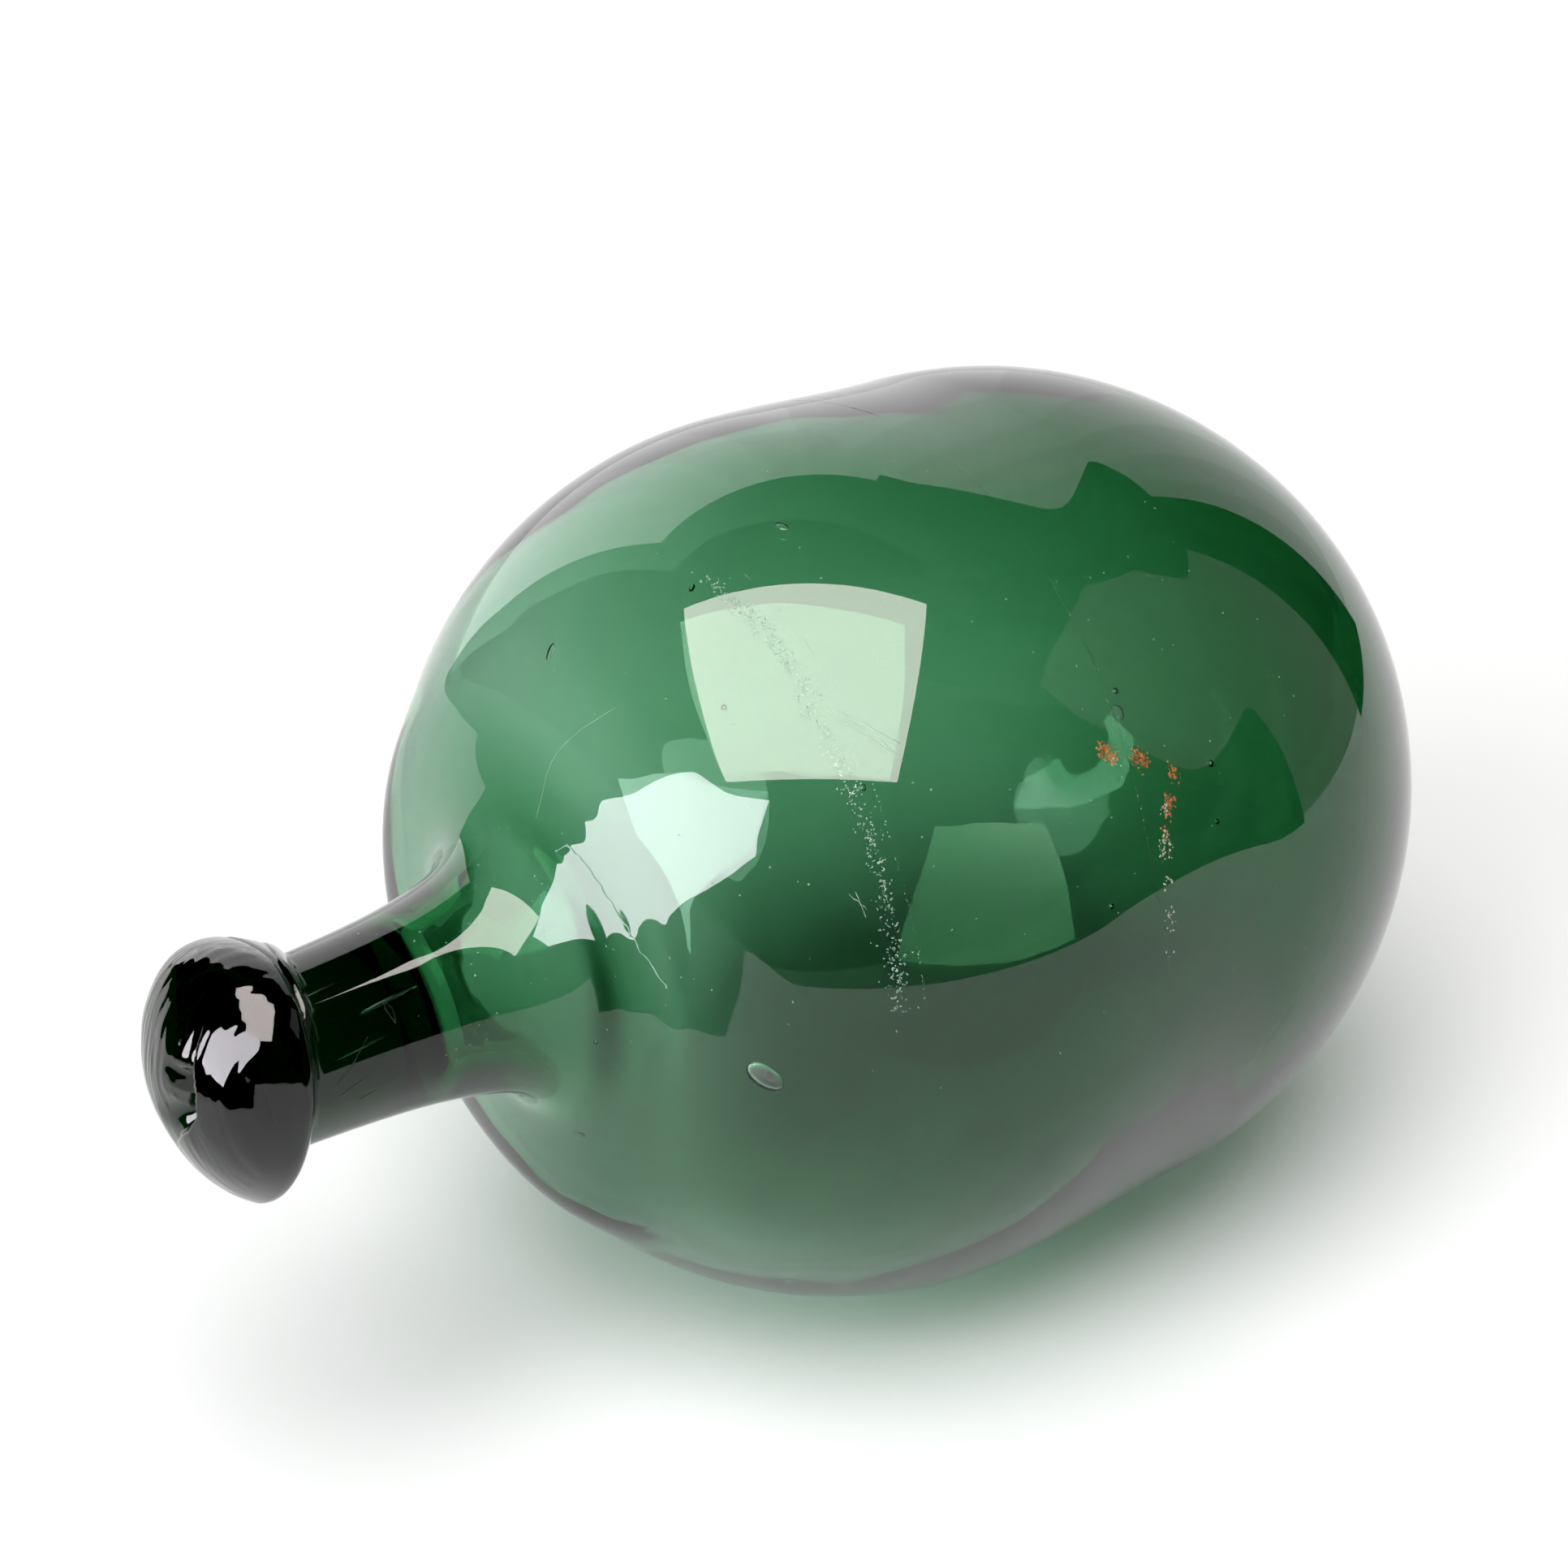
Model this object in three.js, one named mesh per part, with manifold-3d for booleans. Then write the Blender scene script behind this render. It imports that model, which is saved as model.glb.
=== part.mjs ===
// Hand-blown glass net float: a long egg of green glass with a slight waist, drawn out into a
// neck and closed by a thick folded knob. Millimetres, +Z up, lying on its side with the knob
// toward -X. The sealed hollow is left out, so the float is one closed solid.
import * as THREE from 'three';
import { mergeVertices } from 'three/addons/utils/BufferGeometryUtils.js';
import Module from 'manifold-3d';

// Distances along the float are measured from the middle of its closed far end.
const REAR_BULGE_RADIUS = 103.3;
const REAR_BULGE_AT = 106.7;
const FRONT_BULGE_RADIUS = 105;
const FRONT_BULGE_AT = 156;
const SHOULDER_REACH = 100.4;
const SHOULDER_END = 234.5;
const SHOULDER_PULL = 18;
const NECK_START = 259.6;
const NECK_PULL = 22;
const NECK_RADIUS = 19.2;
const NECK_FLARE = 5.5;
const NECK_FLARE_LENGTH = 19.5;
const NECK_END = 312;

// The knob is a folded mushroom cap that sits a little askew on the neck.
const KNOB_AT = 310;
const KNOB_DROP = 1.7;
const KNOB_RADIUS = 27.4;
const KNOB_DOME = 24.4;
const KNOB_DOME_POWER = 2.17;
const KNOB_UNDERSIDE = 6.3;
const KNOB_UNDERSIDE_POWER = 2.9;
const KNOB_TILT_UP = THREE.MathUtils.degToRad(12.7);
const KNOB_TILT_SIDE = THREE.MathUtils.degToRad(14);
const KNOB_LEAN = 0.35;

// The pucker is the hollow in the cap, left where the glass was folded shut.
const PUCKER_SIZE = new THREE.Vector3(3.6, 5.5, 5.8);
const PUCKER_TURN = THREE.MathUtils.degToRad(-8);
const PUCKER_OFF_AXIS = new THREE.Vector2(-16.5, -3.6);

// The float lies with its neck a little high, on a small flat spot under its weight.
const AXIS_PITCH = THREE.MathUtils.degToRad(2);
const FLAT_DEPTH = 0.8;

const BODY_SIDES = 52;
const KNOB_SIDES = 40;
const GLASS = new THREE.MeshStandardMaterial({ color: 0x1c5a3a, roughness: 0.06, metalness: 0 });

// A quarter of a superellipse: its radius at a share of its reach, 0 at the widest ring.
function quarterRadius(share, radius, power) {
  const left = Math.max(1 - Math.pow(Math.min(share, 1), power), 0);
  return radius * Math.pow(left, 1 / power);
}

// Rear dome, shallow waist between the two bulges, then the shoulder.
function bodyRadius(at) {
  if (at < REAR_BULGE_AT) {
    return quarterRadius((REAR_BULGE_AT - at) / REAR_BULGE_AT, REAR_BULGE_RADIUS, 2);
  }
  if (at < FRONT_BULGE_AT) {
    const share = (at - REAR_BULGE_AT) / (FRONT_BULGE_AT - REAR_BULGE_AT);
    const rise = 0.5 - 0.5 * Math.cos(Math.PI * share);
    return THREE.MathUtils.lerp(REAR_BULGE_RADIUS, FRONT_BULGE_RADIUS, rise);
  }
  return quarterRadius((at - FRONT_BULGE_AT) / SHOULDER_REACH, FRONT_BULGE_RADIUS, 2);
}

// The neck narrows from its root toward the knob.
function neckRadius(at) {
  return NECK_RADIUS + NECK_FLARE * Math.exp((NECK_START - at) / NECK_FLARE_LENGTH);
}

function profilePoint(radius, at) {
  return new THREE.Vector2(radius(at), at);
}

// The way a profile heads at one place, as a unit vector.
function heading(radius, at) {
  return profilePoint(radius, at + 0.01).sub(profilePoint(radius, at - 0.01)).normalize();
}

// One smooth curve carries the shoulder round into the neck. It leaves both along their own
// headings.
function filletCurve() {
  const top = profilePoint(bodyRadius, SHOULDER_END);
  const foot = profilePoint(neckRadius, NECK_START);
  const topPull = heading(bodyRadius, SHOULDER_END).multiplyScalar(SHOULDER_PULL).add(top);
  const footPull = heading(neckRadius, NECK_START).multiplyScalar(-NECK_PULL).add(foot);
  return new THREE.CubicBezierCurve(top, topPull, footPull, foot);
}

// The profile starts on the axis at the far end and closes on it inside the knob. Its steps
// are even in angle round the dome and shoulder, and even in length between and after.
function bodyProfile() {
  const profile = [new THREE.Vector2(0, 0)];
  const domeSteps = 15;
  for (let i = 1; i < domeSteps; i += 1) {
    const at = REAR_BULGE_AT * (1 - Math.cos((Math.PI / 2) * (i / domeSteps)));
    profile.push(profilePoint(bodyRadius, at));
  }
  const waistSteps = 5;
  for (let i = 0; i < waistSteps; i += 1) {
    const at = THREE.MathUtils.lerp(REAR_BULGE_AT, FRONT_BULGE_AT, i / waistSteps);
    profile.push(profilePoint(bodyRadius, at));
  }
  const shoulderSteps = 10;
  const shoulderTurn = Math.asin((SHOULDER_END - FRONT_BULGE_AT) / SHOULDER_REACH);
  for (let i = 0; i < shoulderSteps; i += 1) {
    const at = FRONT_BULGE_AT + SHOULDER_REACH * Math.sin(shoulderTurn * (i / shoulderSteps));
    profile.push(profilePoint(bodyRadius, at));
  }
  const filletSteps = 14;
  profile.push(...filletCurve().getPoints(filletSteps));
  const neckSteps = 9;
  for (let i = 1; i <= neckSteps; i += 1) {
    const at = THREE.MathUtils.lerp(NECK_START, NECK_END, i / neckSteps);
    profile.push(profilePoint(neckRadius, at));
  }
  profile.push(new THREE.Vector2(0, NECK_END));
  return profile;
}

function bodyGeometry() {
  return new THREE.LatheGeometry(bodyProfile(), BODY_SIDES);
}

// The cap's profile runs from the middle of its underside round the rim to the top of its dome.
function knobGeometry() {
  const profile = [new THREE.Vector2(0, -KNOB_UNDERSIDE)];
  const underSteps = 7;
  for (let i = 2; i < underSteps; i += 1) {
    const turn = (Math.PI / 2) * (1 - i / underSteps);
    const share = Math.sin(turn);
    const radius = quarterRadius(share, KNOB_RADIUS, KNOB_UNDERSIDE_POWER);
    profile.push(new THREE.Vector2(radius, -KNOB_UNDERSIDE * share));
  }
  const domeSteps = 14;
  for (let i = 0; i < domeSteps; i += 1) {
    const share = Math.sin((Math.PI / 2) * (i / domeSteps));
    const radius = quarterRadius(share, KNOB_RADIUS, KNOB_DOME_POWER);
    profile.push(new THREE.Vector2(radius, KNOB_DOME * share));
  }
  profile.push(new THREE.Vector2(0, KNOB_DOME));
  const geometry = new THREE.LatheGeometry(profile, KNOB_SIDES);
  leanDome(geometry);
  geometry.applyMatrix4(knobPlacement());
  return geometry;
}

// The dome leans upward: each layer above the rim is slid by a share of its height.
function leanDome(geometry) {
  const position = geometry.attributes.position;
  for (let i = 0; i < position.count; i += 1) {
    const height = Math.max(position.getY(i), 0);
    position.setZ(i, position.getZ(i) + KNOB_LEAN * height);
  }
}

function knobPlacement() {
  const axis = new THREE.Vector3(Math.tan(KNOB_TILT_SIDE), 1, Math.tan(KNOB_TILT_UP)).normalize();
  const turn = new THREE.Quaternion().setFromUnitVectors(new THREE.Vector3(0, 1, 0), axis);
  const place = new THREE.Vector3(0, KNOB_AT, -KNOB_DROP);
  return new THREE.Matrix4().compose(place, turn, new THREE.Vector3(1, 1, 1));
}

// An ellipsoid set into the dome, turned so that its long way follows the fold.
function puckerGeometry() {
  const geometry = new THREE.SphereGeometry(1, 16, 10);
  geometry.scale(PUCKER_SIZE.x, PUCKER_SIZE.y, PUCKER_SIZE.z);
  geometry.rotateY(PUCKER_TURN);
  const share = PUCKER_OFF_AXIS.length() / KNOB_RADIUS;
  const height = quarterRadius(share, KNOB_DOME, KNOB_DOME_POWER);
  const lean = KNOB_LEAN * height;
  geometry.translate(PUCKER_OFF_AXIS.x, height, PUCKER_OFF_AXIS.y + lean);
  geometry.applyMatrix4(knobPlacement());
  return geometry;
}

// Everything above is made round the +Y axis; this lays it down, knob toward -X, neck raised.
function layDown(geometry) {
  geometry.rotateZ(Math.PI / 2);
  geometry.rotateY(AXIS_PITCH);
  return geometry;
}

function toSolid(wasm, geometry) {
  const bare = geometry.index ? geometry.clone() : mergeVertices(geometry);
  bare.deleteAttribute('normal');
  bare.deleteAttribute('uv');
  const merged = mergeVertices(bare, 1e-4);
  const mesh = new wasm.Mesh({
    numProp: 3,
    vertProperties: merged.attributes.position.array,
    triVerts: new Uint32Array(merged.index.array),
  });
  return new wasm.Manifold(mesh);
}

function toGeometry(solid) {
  const mesh = solid.getMesh();
  const geometry = new THREE.BufferGeometry();
  geometry.setAttribute('position', new THREE.BufferAttribute(mesh.vertProperties, 3));
  geometry.setIndex(new THREE.BufferAttribute(mesh.triVerts, 1));
  geometry.computeVertexNormals();
  return geometry;
}

// A block under the float whose top face leaves the flat spot that it rests on.
function restingBlock(geometry) {
  geometry.computeBoundingBox();
  const lowest = geometry.boundingBox.min.z;
  const block = new THREE.BoxGeometry(400, 200, 20);
  block.translate(-FRONT_BULGE_AT, 0, lowest + FLAT_DEPTH - 10);
  return block;
}

// The origin is on the resting plane, under the middle of the bounding box.
function moveToOrigin(geometry) {
  geometry.computeBoundingBox();
  const box = geometry.boundingBox;
  const centre = box.getCenter(new THREE.Vector3());
  geometry.translate(-centre.x, -centre.y, -box.min.z);
  return geometry;
}

const wasm = await Module();
wasm.setup();
const body = toSolid(wasm, layDown(bodyGeometry()));
const knob = toSolid(wasm, layDown(knobGeometry()));
const pucker = toSolid(wasm, layDown(puckerGeometry()));
const rounded = body.add(knob).subtract(pucker);
const resting = rounded.subtract(toSolid(wasm, restingBlock(toGeometry(rounded))));

const glassFloat = new THREE.Mesh(moveToOrigin(toGeometry(resting)), GLASS);
glassFloat.name = 'glass_float';

const group = new THREE.Group();
group.add(glassFloat);

export default group;
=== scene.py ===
import math
import random

import bmesh
import bpy
from mathutils import Matrix, Vector, noise


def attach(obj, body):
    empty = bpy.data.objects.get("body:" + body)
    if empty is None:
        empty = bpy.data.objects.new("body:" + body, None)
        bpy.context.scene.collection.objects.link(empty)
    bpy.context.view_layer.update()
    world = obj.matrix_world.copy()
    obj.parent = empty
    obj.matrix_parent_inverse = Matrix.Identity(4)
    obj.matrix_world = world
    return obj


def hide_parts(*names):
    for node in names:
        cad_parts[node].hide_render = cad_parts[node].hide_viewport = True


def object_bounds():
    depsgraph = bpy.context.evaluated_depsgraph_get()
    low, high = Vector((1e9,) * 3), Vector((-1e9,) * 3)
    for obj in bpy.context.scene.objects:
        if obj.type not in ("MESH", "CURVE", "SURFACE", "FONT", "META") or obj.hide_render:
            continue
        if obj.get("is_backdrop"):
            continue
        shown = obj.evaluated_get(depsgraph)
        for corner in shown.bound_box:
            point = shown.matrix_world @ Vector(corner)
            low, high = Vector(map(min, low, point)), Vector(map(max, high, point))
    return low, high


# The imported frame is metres, +Z up, with the float lying on the plane z = 0 and its knob
# toward -X.
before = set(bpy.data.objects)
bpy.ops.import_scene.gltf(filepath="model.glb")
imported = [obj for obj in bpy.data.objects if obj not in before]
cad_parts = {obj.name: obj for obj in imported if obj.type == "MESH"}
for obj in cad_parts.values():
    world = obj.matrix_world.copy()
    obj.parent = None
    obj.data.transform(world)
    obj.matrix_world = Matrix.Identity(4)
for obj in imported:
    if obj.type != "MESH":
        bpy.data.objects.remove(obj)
cad_low, cad_high = (Vector(corner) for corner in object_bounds())

# ---------------------------------------------------------------------------
# Camera: it looks down on the float from the knob end, half a metre up.
CAMERA_AT = (-0.4119, -0.5055, 0.4980)
CAMERA_DOWN = 29.70
CAMERA_TO_THE_RIGHT = 39.11
camera_data = bpy.data.cameras.new("camera")
camera_data.lens = 74.5
camera_data.sensor_width = 36.0
camera = bpy.data.objects.new("camera", camera_data)
camera.location = CAMERA_AT
camera.rotation_euler = (math.radians(90 - CAMERA_DOWN), 0, math.radians(-CAMERA_TO_THE_RIGHT))
bpy.context.scene.collection.objects.link(camera)
bpy.context.scene.camera = camera

# Eight bounces take light in and out through both walls, and back. With fewer, the green
# comes out darker. The other limits save time.
light_paths = bpy.context.scene.cycles
light_paths.max_bounces = 8
light_paths.transmission_bounces = 8
light_paths.glossy_bounces = 3
light_paths.diffuse_bounces = 2
light_paths.use_light_tree = False

# ---------------------------------------------------------------------------
# Float wall: one bubble of bottle-green glass, blown as a long egg with two soft bulges and
# drawn out into a thick neck. Everything is measured along its axis from the closed far end.
REAR_BULGE_RADIUS = 0.1033
REAR_BULGE_AT = 0.1067
FRONT_BULGE_RADIUS = 0.105
FRONT_BULGE_AT = 0.156
SHOULDER_REACH = 0.1004
SHOULDER_END = 0.2345
SHOULDER_PULL = 0.018
NECK_START = 0.2596
NECK_PULL = 0.022
NECK_RADIUS = 0.0192
NECK_FLARE = 0.0055
NECK_FLARE_LENGTH = 0.0195
NECK_END = 0.312
AXIS_PITCH = math.radians(2)


# A quarter of a superellipse: the radius a share of the way from the middle to the end.
def quarter_radius(share, radius, power):
    return radius * max(1 - min(share, 1) ** power, 0) ** (1 / power)


def body_radius(at):
    if at < REAR_BULGE_AT:
        return quarter_radius(1 - at / REAR_BULGE_AT, REAR_BULGE_RADIUS, 2)
    if at < FRONT_BULGE_AT:
        share = (at - REAR_BULGE_AT) / (FRONT_BULGE_AT - REAR_BULGE_AT)
        rise = 0.5 - 0.5 * math.cos(math.pi * share)
        return REAR_BULGE_RADIUS + (FRONT_BULGE_RADIUS - REAR_BULGE_RADIUS) * rise
    return quarter_radius((at - FRONT_BULGE_AT) / SHOULDER_REACH, FRONT_BULGE_RADIUS, 2)


def neck_radius(at):
    return NECK_RADIUS + NECK_FLARE * math.exp((NECK_START - at) / NECK_FLARE_LENGTH)


# One smooth curve carries the shoulder round into the neck, leaving both as they head.
NUDGE = 1e-5


def heading(radius, at):
    return Vector((2 * NUDGE, radius(at + NUDGE) - radius(at - NUDGE))).normalized()


fillet_top = Vector((SHOULDER_END, body_radius(SHOULDER_END)))
fillet_foot = Vector((NECK_START, neck_radius(NECK_START)))
top_pull = fillet_top + heading(body_radius, SHOULDER_END) * SHOULDER_PULL
foot_pull = fillet_foot - heading(neck_radius, NECK_START) * NECK_PULL


def fillet_point(share):
    rest = 1 - share
    return (fillet_top * rest**3 + top_pull * 3 * share * rest * rest
            + foot_pull * 3 * share * share * rest + fillet_foot * share**3)


def float_radius(at):
    if at <= SHOULDER_END:
        return body_radius(at)
    if at >= NECK_START:
        return neck_radius(at)
    low, high = 0.0, 1.0
    for _ in range(30):
        share = (low + high) / 2
        if fillet_point(share).x < at:
            low = share
        else:
            high = share
    return fillet_point(low).y


# The far end's place comes from the box: the dome there just touches its +X side, and the
# front bulge touches its top. Stations every half millimetre find where they reach to.
pitch_sine, pitch_cosine = math.sin(AXIS_PITCH), math.cos(AXIS_PITCH)
stations = [0.0005 * i for i in range(625)]
reach_x = max(-at * pitch_cosine + float_radius(at) * pitch_sine for at in stations)
reach_z = max(at * pitch_sine + float_radius(at) * pitch_cosine for at in stations)
far_end = Vector((cad_high.x - reach_x, 0, cad_high.z - reach_z))

# Pieces are made lying along -X from the origin, then laid down on their resting pitch.
lay_down = Matrix.Translation(far_end) @ Matrix.Rotation(AXIS_PITCH, 4, "Y")


# Rings crowd where the profile turns fastest: at the dome's pole and round the neck's root.
def body_rings(dome_steps, waist_steps, shoulder_steps):
    places = []
    for i in range(dome_steps):
        places.append(REAR_BULGE_AT * (1 - math.cos(0.5 * math.pi * i / dome_steps)))
    for i in range(waist_steps):
        places.append(REAR_BULGE_AT + (FRONT_BULGE_AT - REAR_BULGE_AT) * i / waist_steps)
    last_turn = math.asin((SHOULDER_END - FRONT_BULGE_AT) / SHOULDER_REACH)
    for i in range(shoulder_steps):
        places.append(FRONT_BULGE_AT + SHOULDER_REACH * math.sin(last_turn * i / shoulder_steps))
    return [(at, body_radius(at)) for at in places]


def spun(profile, sides):
    bm = bmesh.new()
    ring = [bm.verts.new((-at, 0, radius)) for at, radius in profile]
    edges = [bm.edges.new(pair) for pair in zip(ring, ring[1:])]
    bmesh.ops.spin(bm, geom=ring + edges, cent=(0, 0, 0), axis=(1, 0, 0),
                   angle=2 * math.pi, steps=sides, use_merge=True)
    bmesh.ops.remove_doubles(bm, verts=bm.verts, dist=1e-6)
    bmesh.ops.recalc_face_normals(bm, faces=bm.faces)
    return bm


def as_object(bm, name):
    mesh = bpy.data.meshes.new(name)
    bm.to_mesh(mesh)
    bm.free()
    mesh.shade_smooth()
    piece = bpy.data.objects.new(name, mesh)
    bpy.context.scene.collection.objects.link(piece)
    return piece


# Hand-blown glass is never quite even: slow waves, fractions of a millimetre high, run over it.
def wobble(bm, height, scale, seed):
    bm.normal_update()
    for vert in bm.verts:
        wave = noise.noise(vert.co / scale + Vector((seed, 0, 0)))
        vert.co += vert.normal * wave * height


# The shoulder and neck were drawn out a few millimetres off the axis, first away from the
# camera's side and then toward it.
SWAY = [(0.2253, 0), (0.2381, -0.0045), (0.2451, 0.0043), (0.260, 0.0028), (0.279, 0.0036)]
SWAY_TOWARD = Vector((0, math.sin(math.radians(-50)), math.cos(math.radians(-50))))


def ease(share):
    share = min(max(share, 0), 1)
    return share * share * (3 - 2 * share)


def sway(at):
    return SWAY_TOWARD * sum((end - start) * ease((at - first) / (last - first))
                             for (first, start), (last, end) in zip(SWAY, SWAY[1:]))


outer = body_rings(48, 24, 44)
outer += [tuple(fillet_point(i / 40)) for i in range(40)]
for i in range(31):
    at = NECK_START + (NECK_END - NECK_START) * i / 30
    outer.append((at, neck_radius(at)))
outer[0] = (0, 0)
outer.append((NECK_END, 0))
skin_mesh = spun(outer, 210)
for vert in skin_mesh.verts:
    vert.co += sway(-vert.co.x)
wobble(skin_mesh, height=0.0002, scale=0.045, seed=3)
skin_mesh.transform(lay_down)
skin = as_object(skin_mesh, "glass_shell")

# ---------------------------------------------------------------------------
# Knob: the gather's end, folded over and pressed into a solid mushroom cap that closes the
# neck. The fold ends in a puckered hollow, and a lip line runs round behind the rim.
KNOB_AT = 0.310
KNOB_DROP = 0.0017
KNOB_RADIUS = 0.0274
KNOB_DOME = 0.0244
KNOB_DOME_POWER = 2.17
KNOB_UNDERSIDE = 0.0063
KNOB_UNDERSIDE_POWER = 2.9
KNOB_TILT_UP = math.radians(12.7)
KNOB_TILT_SIDE = math.radians(14)
KNOB_LEAN = 0.35
PUCKER_HEIGHT = 0.0040
PUCKER_REACH = 0.0050
PUCKER_TAIL = 0.0105
PUCKER_DEPTH = 0.0070
FOLD_STEP = 0.0014
FOLD_EDGE = 0.0007
FOLD_REACH = 0.0058
WRINKLE_DEPTH = 0.00012
WRINKLES_ACROSS = 700
WRINKLES_DOWN = 120
CREASE_DEPTH = 0.0011
CREASE_WIDTH = 0.0006
FACE_START = -0.006

knob_profile = [(-KNOB_UNDERSIDE, 0)]
for i in range(2, 24):
    share = math.sin(0.5 * math.pi * (1 - i / 24))
    radius = quarter_radius(share, KNOB_RADIUS, KNOB_UNDERSIDE_POWER)
    knob_profile.append((-KNOB_UNDERSIDE * share, radius))
for i in range(104):
    share = math.sin(0.5 * math.pi * i / 104)
    radius = quarter_radius(share, KNOB_RADIUS, KNOB_DOME_POWER)
    knob_profile.append((KNOB_DOME * share, radius))
knob_profile.append((KNOB_DOME, 0))
knob_mesh = spun(knob_profile, 220)

# The dome leans upward, layer by layer.
for vert in knob_mesh.verts:
    vert.co.z += KNOB_LEAN * max(-vert.co.x, 0)

# The fold's edge runs down the face of the dome through the pucker. Each point is across and
# up, from the knob's middle.
FOLD = [(-0.0178, 0.0140), (-0.0185, 0.0100), (-0.0192, 0.0060), (-0.0188, 0.0005),
        (-0.0150, -0.0050), (-0.0085, -0.0110)]


def fold_side(y, z):
    nearest, side = 1.0, 0.0
    for (y0, z0), (y1, z1) in zip(FOLD, FOLD[1:]):
        run, rise = y1 - y0, z1 - z0
        share = ((y - y0) * run + (z - z0) * rise) / (run * run + rise * rise)
        share = min(max(share, 0), 1)
        away_y, away_z = y - y0 - share * run, z - z0 - share * rise
        distance = math.hypot(away_y, away_z)
        if distance < nearest:
            nearest = distance
            side = run * away_z - rise * away_y
    return nearest, side


# The rim swells toward the camera's side, most near the top, and the face falls away from it
# almost flat.
SWELL = 0.0098
SWELL_TOWARD = Vector((-0.33, -0.86, 0.39)).normalized()
SWELL_GROWS_TOWARD = Vector((0.944, -0.302, 0.137))
SWELL_START = -0.026
SWELL_RUN = 0.034
SWELL_FOOT = -0.024
SWELL_RISE = 0.048
SWELL_POWER = 1.1
SWELL_EDGE = 0.4
knob_mesh.normal_update()
for vert in knob_mesh.verts:
    rimward = max(SWELL_GROWS_TOWARD.dot(vert.co) - SWELL_START, 0)
    near_rim = ease((rimward / SWELL_RUN) ** SWELL_POWER)
    facing = ease(vert.normal.dot(SWELL_TOWARD) / SWELL_EDGE)
    high = ease((vert.co.z - SWELL_FOOT) / SWELL_RISE)
    vert.co += SWELL_TOWARD * SWELL * near_rim * facing * high

# The glass beyond the fold lies a little lower, fine pressing wrinkles run down the face, and
# the lip line is a crease round the top, behind the rim.
knob_mesh.normal_update()
moves = []
for vert in knob_mesh.verts:
    drop = 0.0
    if vert.co.x < FACE_START:
        distance, side = fold_side(vert.co.y, vert.co.z)
        if side > 0:
            step = ease(distance / FOLD_EDGE) * math.exp(-((distance / FOLD_REACH) ** 2))
            above = vert.co.z - PUCKER_HEIGHT
            pucker = math.exp(-((above / (PUCKER_REACH if above > 0 else PUCKER_TAIL)) ** 4))
            drop += (FOLD_STEP + PUCKER_DEPTH * pucker) * step
        grain = Vector((vert.co.y * WRINKLES_ACROSS, vert.co.z * WRINKLES_DOWN, 1.7))
        drop += WRINKLE_DEPTH * noise.noise(grain)
    around = math.degrees(math.atan2(vert.co.y, vert.co.z))
    if -75 < around < 45:
        crease_at = -0.0035 - 0.0035 * (around + 20) / 40
        crease = math.exp(-(((vert.co.x - crease_at) / CREASE_WIDTH) ** 2))
        ends = math.cos(math.radians((around + 15) * 1.5))
        drop += CREASE_DEPTH * crease * max(ends, 0)
    moves.append((vert, vert.normal * drop))
for vert, move in moves:
    vert.co -= move
wobble(knob_mesh, height=0.0003, scale=0.014, seed=8)

# The cap is set askew on the neck, then pressed into it as one piece of glass.
knob_axis = Vector((-1, math.tan(KNOB_TILT_SIDE), math.tan(KNOB_TILT_UP)))
tilt = Vector((-1, 0, 0)).rotation_difference(knob_axis).to_matrix().to_4x4()
knob_mesh.transform(lay_down @ Matrix.Translation((-KNOB_AT, 0, -KNOB_DROP)) @ tilt)
knob = as_object(knob_mesh, "knob")

joined = skin.modifiers.new("knob", "BOOLEAN")
joined.operation = "UNION"
joined.solver = "EXACT"
joined.object = knob
graph = bpy.context.evaluated_depsgraph_get()
shell_mesh = bmesh.new()
shell_mesh.from_mesh(skin.evaluated_get(graph).to_mesh())
skin.modifiers.clear()
bpy.data.objects.remove(knob)

# It rests on a small flat spot under its weight.
cut = bmesh.ops.bisect_plane(shell_mesh, geom=shell_mesh.verts[:] + shell_mesh.edges[:]
                             + shell_mesh.faces[:], plane_co=(0, 0, 0), plane_no=(0, 0, 1),
                             clear_inner=True)
rim = [item for item in cut["geom_cut"] if isinstance(item, bmesh.types.BMEdge)]
bmesh.ops.edgeloop_fill(shell_mesh, edges=rim)
bmesh.ops.recalc_face_normals(shell_mesh, faces=shell_mesh.faces)

# ---------------------------------------------------------------------------
# Hollow: the air sealed inside. The glass is thin on the shoulder, thicker toward the far
# end where the gather hung, and thickest in the root of the neck, where the hollow ends
# in a blunt rounded tip.
SHOULDER_WALL = 0.0027
FAR_WALL = 0.0084
NECK_WALL = 0.0074
BODY_THICKENS_FROM = 0.230
BODY_THICKENS_OVER = 0.170
NECK_THICKENS_FROM = 0.236
NECK_THICKENS_OVER = 0.026
HOLLOW_END = 0.2765
HOLLOW_TIP = 0.0065
HOLLOW_SHIFT = (-0.0003, 0, 0.0008)


def wall(at):
    toward_far_end = ease((BODY_THICKENS_FROM - at) / BODY_THICKENS_OVER)
    body = SHOULDER_WALL + (FAR_WALL - SHOULDER_WALL) * toward_far_end
    into_neck = ease((at - NECK_THICKENS_FROM) / NECK_THICKENS_OVER)
    return body + (NECK_WALL - SHOULDER_WALL) * into_neck


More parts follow.
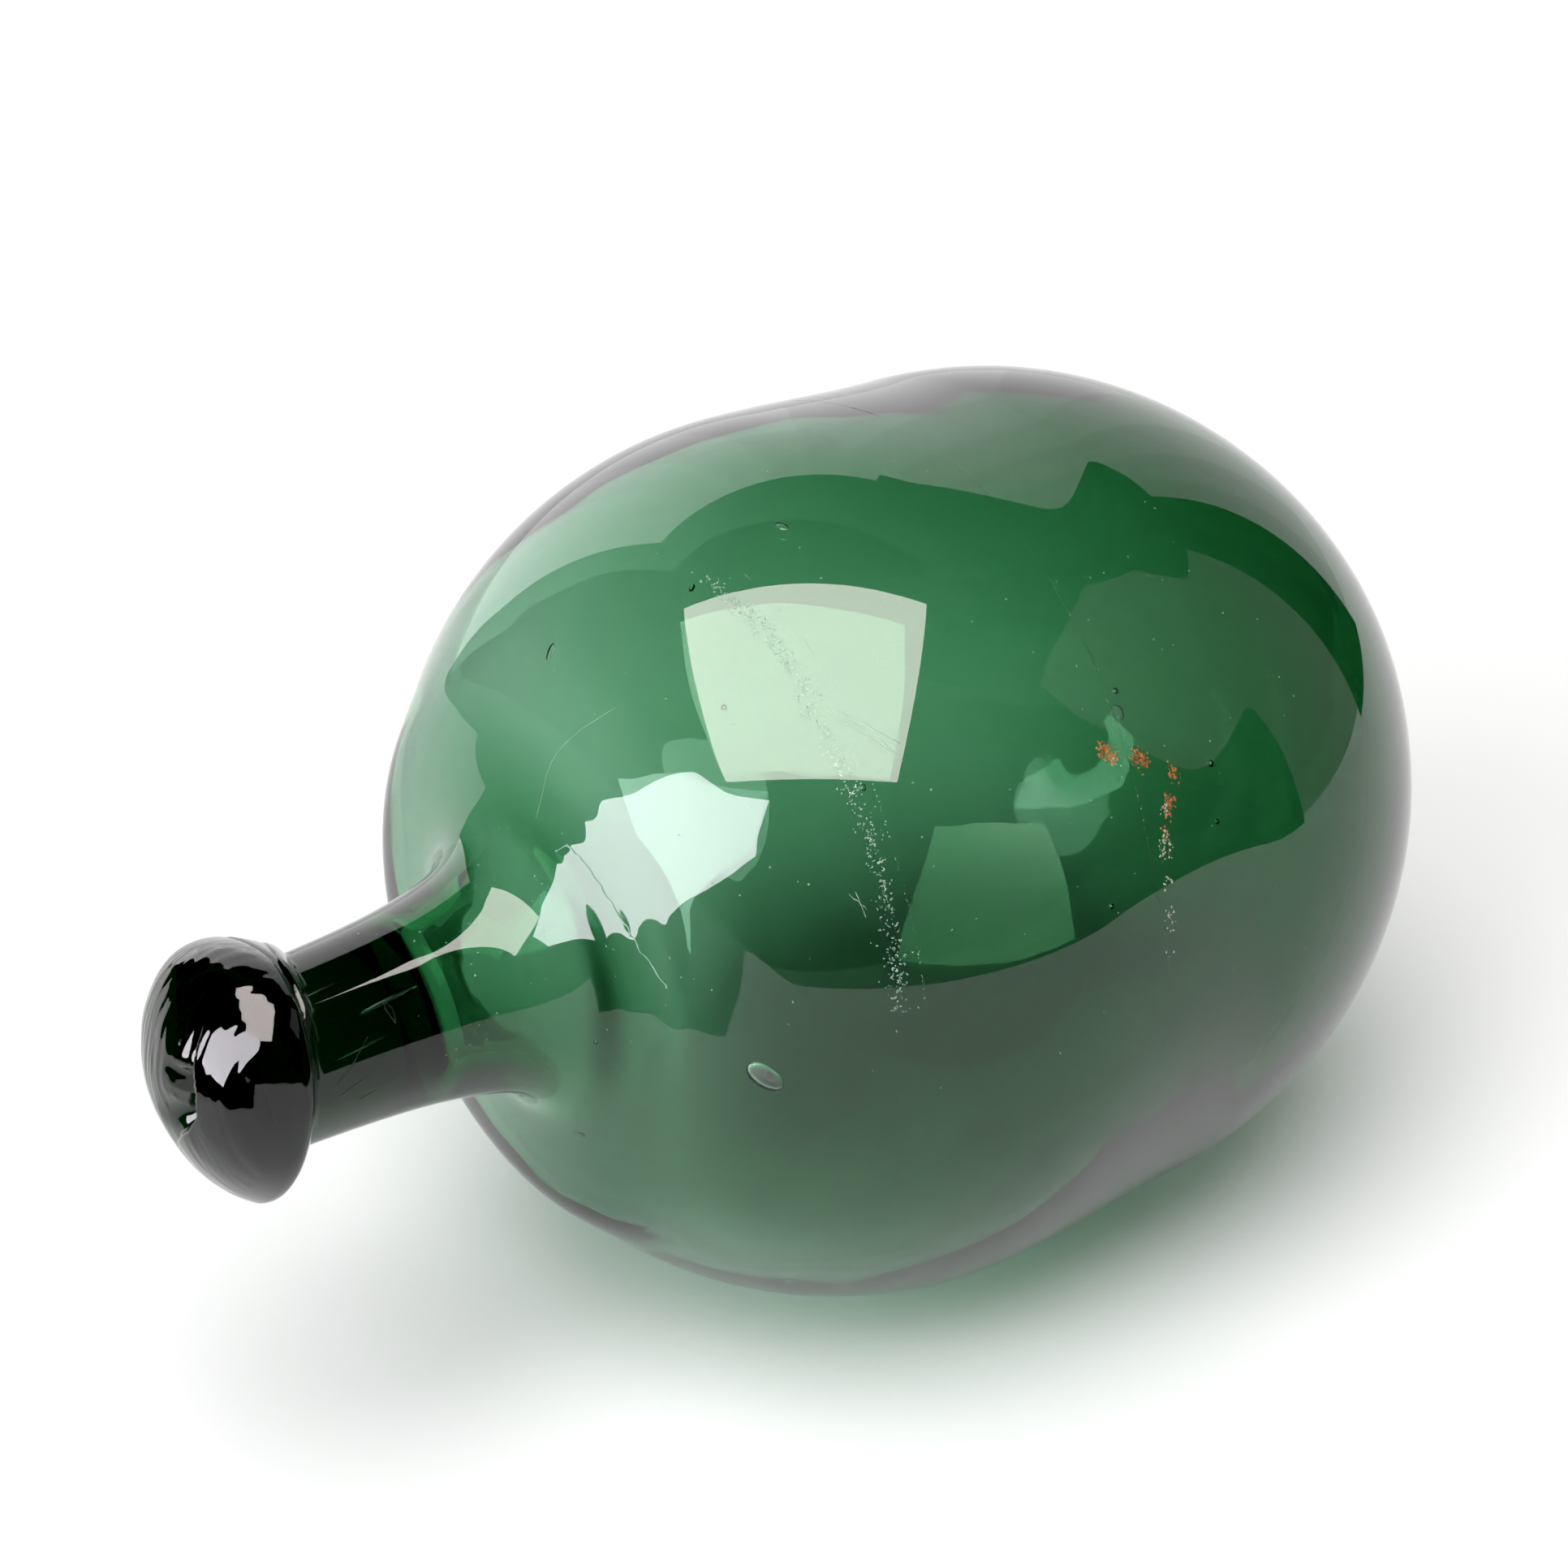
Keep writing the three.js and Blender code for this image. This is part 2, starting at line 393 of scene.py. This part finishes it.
# Each ring of the hollow lies under a ring of the skin, a wall's thickness in.
inner = [(FAR_WALL, 0)]
skin_line = body_rings(30, 12, 24)[1:] + [tuple(fillet_point(i / 24)) for i in range(24)]
tip_start = HOLLOW_END - HOLLOW_TIP
for i in range(9):
    at = NECK_START + (tip_start - NECK_START) * i / 8
    skin_line.append((at, neck_radius(at)))
for i in range(1, len(skin_line) - 1):
    before, here, after = (Vector(skin_line[i + k]) for k in (-1, 0, 1))
    run = (after - before).normalized()
    inner.append(tuple(here + Vector((run.y, -run.x)) * wall(here.x)))
tip_radius = neck_radius(tip_start) - wall(tip_start)
for i in range(1, 14):
    turn = 0.5 * math.pi * i / 14
    shrink = HOLLOW_TIP * (1 - math.cos(turn))
    inner.append((tip_start + HOLLOW_TIP * math.sin(turn), tip_radius - shrink))
for i in range(5):
    inner.append((HOLLOW_END, (tip_radius - HOLLOW_TIP) * (1 - i / 4)))
hollow_mesh = spun(inner, 128)
for vert in hollow_mesh.verts:
    vert.co += sway(-vert.co.x)
wobble(hollow_mesh, height=0.0008, scale=0.07, seed=5)
wobble(hollow_mesh, height=0.00006, scale=0.014, seed=9)
hollow_mesh.transform(lay_down @ Matrix.Translation(HOLLOW_SHIFT))
bmesh.ops.reverse_faces(hollow_mesh, faces=hollow_mesh.faces)


# A place on the float's skin: how far along, how far round from the top (plus is away from
# the camera's side), and how far out from it.
SLOPE_STEP = 0.0002


def skin_point(along, around, lift):
    turn = math.radians(around)
    rise = float_radius(along + SLOPE_STEP) - float_radius(along - SLOPE_STEP)
    slope = rise / (2 * SLOPE_STEP)
    out = Vector((slope, math.sin(turn), math.cos(turn))).normalized()
    radius = float_radius(along)
    point = Vector((-along, radius * math.sin(turn), radius * math.cos(turn))) + sway(along)
    return lay_down @ (point + out * lift), (lay_down.to_3x3() @ out).normalized()


# Seeds are gas bubbles caught in the wall: along, around, length, width, thickness, depth
# below the skin, and turn. The big one lies low on the side that faces the camera; the wide
# ones are pressed flat, so that only their outline shows.
SEEDS = [
    (0.2299, -87.8, 0.0088, 0.0056, 0.0013, 0.0016, 60),
    (0.2293, 5.1, 0.0040, 0.0020, 0.0004, 0.0010, 20),
    (0.1420, -48.0, 0.0015, 0.0014, 0.0014, 0.0012, 0),
    (0.1442, -50.5, 0.0036, 0.0034, 0.0003, 0.0008, 0),
    (0.1231, -60.1, 0.0017, 0.0016, 0.0016, 0.0013, 0),
    (0.1255, -67.0, 0.0013, 0.0012, 0.0012, 0.0013, 0),
    (0.1603, -71.5, 0.0013, 0.0013, 0.0013, 0.0013, 0),
    (0.1866, -10.6, 0.0034, 0.0018, 0.0003, 0.0007, 70),
    (0.2180, -28.0, 0.0013, 0.0011, 0.0010, 0.0010, 0),
    (0.2480, -96.0, 0.0012, 0.0010, 0.0010, 0.0014, 0),
    (0.1700, 38.0, 0.0026, 0.0016, 0.0010, 0.0014, 40),
    (0.1200, 75.0, 0.0030, 0.0020, 0.0012, 0.0018, 10),
    (0.0700, 120.0, 0.0024, 0.0016, 0.0014, 0.0018, 0),
    (0.1900, 150.0, 0.0032, 0.0020, 0.0012, 0.0016, 30),
    (0.2100, -140.0, 0.0022, 0.0014, 0.0010, 0.0014, 60),
]


def move_into(target, source):
    data = bpy.data.meshes.new("moved")
    source.to_mesh(data)
    source.free()
    target.from_mesh(data)
    bpy.data.meshes.remove(data)


def add_bubble(size, u_segments, v_segments, place):
    bubble = bmesh.new()
    bmesh.ops.create_uvsphere(bubble, u_segments=u_segments, v_segments=v_segments, radius=0.5,
                              matrix=Matrix.Diagonal((*size, 1)))
    bubble.transform(place)
    bmesh.ops.reverse_faces(bubble, faces=bubble.faces)
    move_into(hollow_mesh, bubble)


for along, around, length, width, thick, depth, turn in SEEDS:
    centre, out = skin_point(along, around, -depth)
    aim = out.to_track_quat("Z", "X").to_matrix().to_4x4()
    place = Matrix.Translation(centre) @ aim @ Matrix.Rotation(math.radians(turn), 4, "Z")
    add_bubble((length, width, thick), 20, 12, place)

# Long thin bubbles were drawn out along the neck with the glass: along, around, length, width.
NECK_SEEDS = [(0.2870, -44.0, 0.0150, 0.0022), (0.2960, -68.0, 0.0130, 0.0010),
              (0.3000, -20.0, 0.0090, 0.0008), (0.2920, 60.0, 0.0120, 0.0014)]
NECK_SEED_DEPTH = 0.0035
NECK_SEED_SLANT = math.radians(84)
for along, around, length, width in NECK_SEEDS:
    centre, out = skin_point(along, around, -NECK_SEED_DEPTH)
    place = (Matrix.Translation(centre) @ lay_down.to_3x3().to_4x4()
             @ Matrix.Rotation(NECK_SEED_SLANT, 4, "Y"))
    add_bubble((width, width, length), 14, 14, place)

move_into(shell_mesh, hollow_mesh)
shell_mesh.to_mesh(skin.data)
shell_mesh.free()
skin.data.shade_smooth()

# Bottle-green glass: it is clear, and its colour grows with the length of glass crossed, so
# the wall is mid green, the neck dark and the knob nearly black.
GLASS_TINT = (0.167, 0.577, 0.343, 1)
GLASS_TINT_DENSITY = 305.0
GLASS_IOR = 1.5
glass = bpy.data.materials.new("bottle_green_glass")
glass.use_nodes = True
nodes, links = glass.node_tree.nodes, glass.node_tree.links
glass_shader = nodes["Principled BSDF"]
glass_shader.inputs["Base Color"].default_value = (1, 1, 1, 1)
glass_shader.inputs["Roughness"].default_value = 0.0
glass_shader.inputs["IOR"].default_value = GLASS_IOR
glass_shader.inputs["Transmission Weight"].default_value = 1.0
absorption = nodes.new("ShaderNodeVolumeAbsorption")
absorption.inputs["Color"].default_value = GLASS_TINT
absorption.inputs["Density"].default_value = GLASS_TINT_DENSITY
links.new(absorption.outputs["Volume"], nodes["Material Output"].inputs["Volume"])
skin.data.materials.clear()
skin.data.materials.append(glass)
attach(skin, "root")
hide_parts("glass_float")

# ---------------------------------------------------------------------------
# Rope wear: the net's ropes have picked tiny shell-shaped chips out of the skin along the
# lines where they ran, one broad band round the shoulder and two thin dotted ones. Each line
# is a row of places: degrees round from the top, and metres from the far end.
ROPE_BAND = [(0, 0.2050), (-16, 0.2050), (-24, 0.2040), (-33, 0.2054), (-41, 0.2063),
             (-54, 0.2065), (-65, 0.2076), (-73, 0.2085), (-90, 0.2090)]
ROPE_LINE = [(0, 0.1996), (-28, 0.1997), (-44, 0.2022), (-60, 0.2035), (-74, 0.2038),
             (-90, 0.204)]
WAIST_LINE = [(20, 0.1400), (0, 0.1398), (-18, 0.1405), (-24, 0.1425), (-45, 0.1448),
              (-57, 0.1468), (-71, 0.1482), (-80, 0.1460), (-100, 0.1460)]
LOOSE_CHIPS = 420
WEAR_LIFT = 0.00003
FULL_TURN = 6.28
CHIP_SIDES = 5
chips = bmesh.new()
dice = random.Random(41)


def between(line, around):
    for (first, start), (last, end) in zip(line, line[1:]):
        if first >= around >= last:
            return start + (end - start) * (first - around) / (first - last)
    return line[-1][1]


def skin_frame(along, around, lift, turn):
    point, out = skin_point(along, around, lift)
    return (Matrix.Translation(point) @ out.to_track_quat("Z", "X").to_matrix().to_4x4()
            @ Matrix.Rotation(turn, 4, "Z"))


# A chip is a part of a ring, thicker toward some of its corners.
def chip(along, around, size):
    here = skin_frame(along, around, WEAR_LIFT, dice.uniform(0, FULL_TURN))
    sweep = dice.uniform(2.4, 5.2)
    pairs = []
    for i in range(CHIP_SIDES + 1):
        angle = sweep * i / CHIP_SIDES
        for radius in (size * 0.5, size * dice.uniform(0.16, 0.30)):
            place = Vector((radius * math.cos(angle), radius * math.sin(angle), 0))
            pairs.append(chips.verts.new(here @ place))
    for i in range(0, 2 * CHIP_SIDES, 2):
        chips.faces.new((pairs[i], pairs[i + 2], pairs[i + 3], pairs[i + 1]))


for line, count, first, last, spread, small, large in [
        (ROPE_BAND, 620, -10, -78, 0.0010, 0.0003, 0.0008),
        (ROPE_LINE, 150, -12, -78, 0.0001, 0.0002, 0.0004),
        (WAIST_LINE, 90, 0, -84, 0.0003, 0.0002, 0.0004)]:
    for _ in range(count):
        around = dice.uniform(last, first)
        along = between(line, around) + dice.gauss(0, spread)
        chip(along, around, dice.uniform(small, large) * dice.choice((0.5, 0.8, 1)))
# Loose chips and dust lie scattered over the rest of the skin.
for _ in range(LOOSE_CHIPS):
    chip(dice.uniform(0.09, 0.285), dice.uniform(-100, 60), dice.uniform(0.0002, 0.0005))
wear = as_object(chips, "rope_wear")


# Wear and crusts are uneven in colour: fine grains of a darker and a paler tone.
def mottled(name, dark, light, grain, roughness, specular=0.5):
    material = bpy.data.materials.new(name)
    material.use_nodes = True
    nodes, links = material.node_tree.nodes, material.node_tree.links
    shader = nodes["Principled BSDF"]
    shader.inputs["Roughness"].default_value = roughness
    shader.inputs["Specular IOR Level"].default_value = specular
    place = nodes.new("ShaderNodeTexCoord")
    grains = nodes.new("ShaderNodeTexNoise")
    grains.inputs["Scale"].default_value = 1 / grain
    grains.inputs["Detail"].default_value = 3
    tones = nodes.new("ShaderNodeValToRGB")
    tones.color_ramp.elements[0].position = 0.35
    tones.color_ramp.elements[0].color = (*dark, 1)
    tones.color_ramp.elements[1].position = 0.65
    tones.color_ramp.elements[1].color = (*light, 1)
    links.new(place.outputs["Object"], grains.inputs["Vector"])
    links.new(grains.outputs["Fac"], tones.inputs["Fac"])
    links.new(tones.outputs["Color"], shader.inputs["Base Color"])
    return material


wear_material = mottled("chipped_glass", (0.18, 0.28, 0.22), (0.34, 0.44, 0.38), 0.002, 0.6)
wear.data.materials.append(wear_material)
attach(wear, "root")

# ---------------------------------------------------------------------------
# Scratches: a long hairline crosses the shoulder, and short scuffs cross the front bulge. Each
# is a row of places, metres from the far end and degrees round, and a width.
SCRATCHES = [([(0.2450, -21), (0.2434, -24), (0.2425, -48), (0.2415, -60), (0.2395, -70)],
              0.00016),
             ([(0.2030, -37), (0.1975, -43)], 0.00016), ([(0.2010, -38), (0.1940, -45)], 0.00012),
             ([(0.2000, -40), (0.1950, -46)], 0.00016), ([(0.2130, -60), (0.2105, -63)], 0.00014),
             ([(0.2118, -60), (0.2112, -64)], 0.00012), ([(0.2440, -8), (0.2290, -16)], 0.00010),
             ([(0.1990, -42), (0.1950, -47)], 0.00012)]
GROOVES = [([(0.2953, -61), (0.3010, -76), (0.3050, -84)], 0.00030),
           ([(0.2983, -85), (0.3040, -91)], 0.00026), ([(0.2958, -96), (0.2996, -99)], 0.00024),
           ([(0.2895, -45), (0.2893, -52), (0.2883, -60)], 0.00024),
           ([(0.2893, -45), (0.2880, -50), (0.2883, -60)], 0.00016)]
waist = [(between(WAIST_LINE, around), around) for around in range(20, -101, -6)]
for i in range(0, len(waist) - 2, 2):
    GROOVES.append((waist[i:i + 2], 0.00014))
    GROOVES.append((waist[i + 1:i + 3], 0.00009))


# A ribbon wavers and changes width every few steps, as a tool or grit cuts it.
RIBBON_STEPS = 13
RIBBON_WAVER = 0.00010
USUAL_RADIUS = 0.06


def ribbons(bm, lines):
    for line, width in lines:
        left, right = [], []
        for (along0, around0), (along1, around1) in zip(line, line[1:]):
            round_run = math.radians(around1 - around0) * USUAL_RADIUS
            run = Vector((along1 - along0, round_run)).normalized()
            for i in range(RIBBON_STEPS):
                share = i / RIBBON_STEPS
                along = along0 + (along1 - along0) * share + dice.gauss(0, RIBBON_WAVER)
                around = around0 + (around1 - around0) * share
                side = Vector((-run.y, run.x)) * width * dice.uniform(0.2, 0.5)
                turn = math.degrees(side.y / max(float_radius(along), 0.02))
                ahead = skin_point(along + side.x, around + turn, WEAR_LIFT)[0]
                behind = skin_point(along - side.x, around - turn, WEAR_LIFT)[0]
                left.append(bm.verts.new(ahead))
                right.append(bm.verts.new(behind))
        for i in range(len(left) - 1):
            bm.faces.new((left[i], left[i + 1], right[i + 1], right[i]))


scratches = bmesh.new()
ribbons(scratches, SCRATCHES)
scratch = as_object(scratches, "scratches")
scratch.data.materials.append(wear_material)
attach(scratch, "root")

# The mould line round the waist and the old grooves on the neck are drawn as nearly black, dull
# ribbons.
groove_mesh = bmesh.new()
ribbons(groove_mesh, GROOVES)
groove = as_object(groove_mesh, "grooves")
groove.data.materials.append(mottled("dark_groove", (0.006, 0.018, 0.012),
                                     (0.030, 0.044, 0.030), 0.002, 0.7, specular=0.1))
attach(groove, "root")

# ---------------------------------------------------------------------------
# Deposits: crusts of rust and pale salt stuck to the waist where a wire or hook once lay. Each
# place is metres from the far end, degrees round, and how thickly it is crusted.
RUST = [(0.1520, -54.0, 12), (0.1506, -55.0, 12), (0.1440, -56.0, 10), (0.1424, -56.6, 12),
        (0.1355, -59.4, 12), (0.1385, -62.2, 9), (0.1398, -63.6, 5), (0.1420, -65.6, 3)]
SALT = [(0.1405, -63.0, 3), (0.1425, -66.5, 5), (0.1432, -68.0, 5), (0.1444, -71.5, 3),
        (0.1450, -75.0, 2), (0.1452, -76.5, 2), (0.1458, -80.0, 1), (0.1500, -55.6, 3)]
GRAINS_EACH = 5
for name, places, dark, light in [
        ("rust_deposit", RUST, (0.18, 0.05, 0.015), (0.42, 0.16, 0.042)),
        ("salt_deposit", SALT, (0.20, 0.19, 0.14), (0.40, 0.39, 0.30))]:
    crust = bmesh.new()
    for along, around, count in places:
        for _ in range(count * GRAINS_EACH):
            size = dice.uniform(0.0002, 0.0009)
            place = skin_frame(along + dice.gauss(0, 0.0008), around + dice.gauss(0, 0.55),
                               0, dice.uniform(0, FULL_TURN))
            flat = Matrix.Diagonal((size, size * dice.uniform(0.4, 1), size * 0.35, 1))
            bmesh.ops.create_icosphere(crust, subdivisions=1, radius=0.5, matrix=place @ flat)
    deposit = as_object(crust, name)
    deposit.data.materials.append(mottled(name, dark, light, 0.0012, 0.85))
    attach(deposit, "root")

# ---------------------------------------------------------------------------
# Studio: a pale floor that fills the view, a broad softbox overhead, a window to the left
# and pale surroundings. The floor lies a hair lower than the glass, so they share no plane.
floor_mesh = bmesh.new()
bmesh.ops.create_grid(floor_mesh, x_segments=2, y_segments=2, size=8)
floor = as_object(floor_mesh, "floor")
floor_material = bpy.data.materials.new("pale_floor")
floor_material.use_nodes = True
floor_shader = floor_material.node_tree.nodes["Principled BSDF"]
floor_shader.inputs["Base Color"].default_value = (0.86, 0.86, 0.86, 1)
floor_shader.inputs["Roughness"].default_value = 0.9
floor_shader.inputs["Specular IOR Level"].default_value = 0.1
floor.data.materials.append(floor_material)
floor.location.z = -0.0004
floor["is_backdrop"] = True

world = bpy.data.worlds.new("pale_surroundings")
world.use_nodes = True
background = world.node_tree.nodes["Background"]
background.inputs["Color"].default_value = (1, 1, 1, 1)
background.inputs["Strength"].default_value = 0.20
bpy.context.scene.world = world
bpy.context.scene.view_settings.view_transform = "Standard"


# The lamps that light the floor and the glass are left out of reflections, where the cards
# below stand for them.
def soft_sun(name, toward, strength, spread, colour):
    data = bpy.data.lights.new(name, "SUN")
    data.energy = strength
    data.angle = math.radians(spread)
    data.color = colour
    lamp = bpy.data.objects.new(name, data)
    lamp.rotation_euler = Vector(toward).to_track_quat("Z", "Y").to_euler()
    lamp.visible_glossy = False
    bpy.context.scene.collection.objects.link(lamp)


soft_sun("overhead_light", (-0.335, -0.219, 0.917), 2.65, 44, (1.0, 0.99, 0.98))
soft_sun("window_light", (-0.86, -0.13, 0.49), 1.6, 36, (0.96, 1.0, 1.01))
soft_sun("front_fill", (-0.1, -0.80, 0.59), 0.3, 70, (1, 1, 1))


# Cards show in the glass as the studio does, and light nothing.
def as_card(bm, name, colour, strength):
    panel = as_object(bm, name)
    material = bpy.data.materials.new(name)
    material.use_nodes = True
    shader = material.node_tree.nodes["Principled BSDF"]
    shader.inputs["Base Color"].default_value = (0, 0, 0, 1)
    shader.inputs["Specular IOR Level"].default_value = 0
    shader.inputs["Emission Color"].default_value = (*colour, 1)
    shader.inputs["Emission Strength"].default_value = strength
    material.cycles.emission_sampling = "NONE"
    panel.data.materials.append(material)
    panel.visible_camera = False
    panel.visible_diffuse = False
    panel.visible_shadow = False
    panel.visible_transmission = strength > 0
    panel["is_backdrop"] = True


def flat_card(name, corners, colour, strength):
    bm = bmesh.new()
    bm.faces.new([bm.verts.new(corner) for corner in corners])
    as_card(bm, name, colour, strength)


# A wall on a circle round the float, between two bearings counted from -Y toward +X.
def wall_card(name, radius, first, last, height, colour, strength):
    bm = bmesh.new()
    turn = Matrix.Rotation(math.radians(first), 3, "Z")
    foot = bm.verts.new(turn @ Vector((0, -radius, 0.001)))
    head = bm.verts.new(turn @ Vector((0, -radius, height)))
    edge = bm.edges.new((foot, head))
    bmesh.ops.spin(bm, geom=[foot, head, edge], cent=(0, 0, 0), axis=(0, 0, 1),
                   angle=math.radians(last - first), steps=24)
    as_card(bm, name, colour, strength)


# A square softbox hangs over the float, tipped a little. A ragged bright window, partly hidden
# by things in front of it, stands upright beyond the knob, with a low dark stand behind it.
SOFTBOX_HALF_WIDTH = 0.52
SOFTBOX_HALF_HEIGHT = 0.515
across = Vector((0.74, -0.671, 0.046)).normalized() * SOFTBOX_HALF_WIDTH
up = Vector((0.663, 0.739, 0.121)).normalized() * SOFTBOX_HALF_HEIGHT
middle = Vector((-0.369, -0.224, 1.12))
flat_card("softbox", [middle - across - up, middle + across - up, middle + across + up,
                      middle - across + up], (1.0, 0.91, 0.885), 10.3)

WINDOW_X = -0.36
WINDOW = [(-0.216, 0.445), (-0.134, 0.405), (-0.020, 0.345), (0.060, 0.250), (0.110, 0.200),
          (0.090, 0.100), (0.010, 0.055), (-0.018, 0.120), (-0.070, 0.178), (-0.203, 0.306)]
flat_card("window", [(WINDOW_X, y, z) for y, z in WINDOW], (1.0, 0.955, 1.03), 12.2)

STAND_X = -0.37
STAND = [(-0.12, 0), (0.5, 0), (0.5, 0.3), (-0.12, 0.3)]
flat_card("dark_stand", [(STAND_X, y, z) for y, z in STAND], (0, 0, 0), 0)

# The dark room round the camera is open behind the float, where the bright backdrop stands,
# and to its right, where there is a dimmer panel. Bearings and heights are in degrees.
BACK_OPENING = (97, 187)
SIDE_OPENING = (47, 78)
SIDE_TOP = 44
FLOOR_LINE = -3
ROOM_RADIUS = 1.6
room_mesh = bmesh.new()
bmesh.ops.create_uvsphere(room_mesh, u_segments=120, v_segments=60, radius=ROOM_RADIUS)
gone = []
for face in room_mesh.faces:
    centre = face.calc_center_median()
    around = math.degrees(math.atan2(centre.x, -centre.y)) % 360
    height = math.degrees(math.asin(centre.z / centre.length))
    back_top = 42 + 6.5 * ease((around - 60) / 110)
    if (BACK_OPENING[0] < around < BACK_OPENING[1] and height < back_top
            or SIDE_OPENING[0] < around < SIDE_OPENING[1] and height < SIDE_TOP
            or height < FLOOR_LINE):
        gone.append(face)
bmesh.ops.delete(room_mesh, geom=gone, context="FACES")
as_card(room_mesh, "dark_room", (0, 0, 0), 0)

# The backdrop grows brighter strip by strip, from the camera's right round to its left.
WALLS_AT = 2.2
STRIP = 8
for i in range(12):
    first = 95 + STRIP * i
    last = min(first + STRIP, 189)
    wall_card("backdrop", WALLS_AT, first, last, 2.9, (1, 1, 1), 0.8 + 0.11 * i)
wall_card("side_panel", WALLS_AT, 46, 79, 2.2, (1, 1, 1), 0.4)
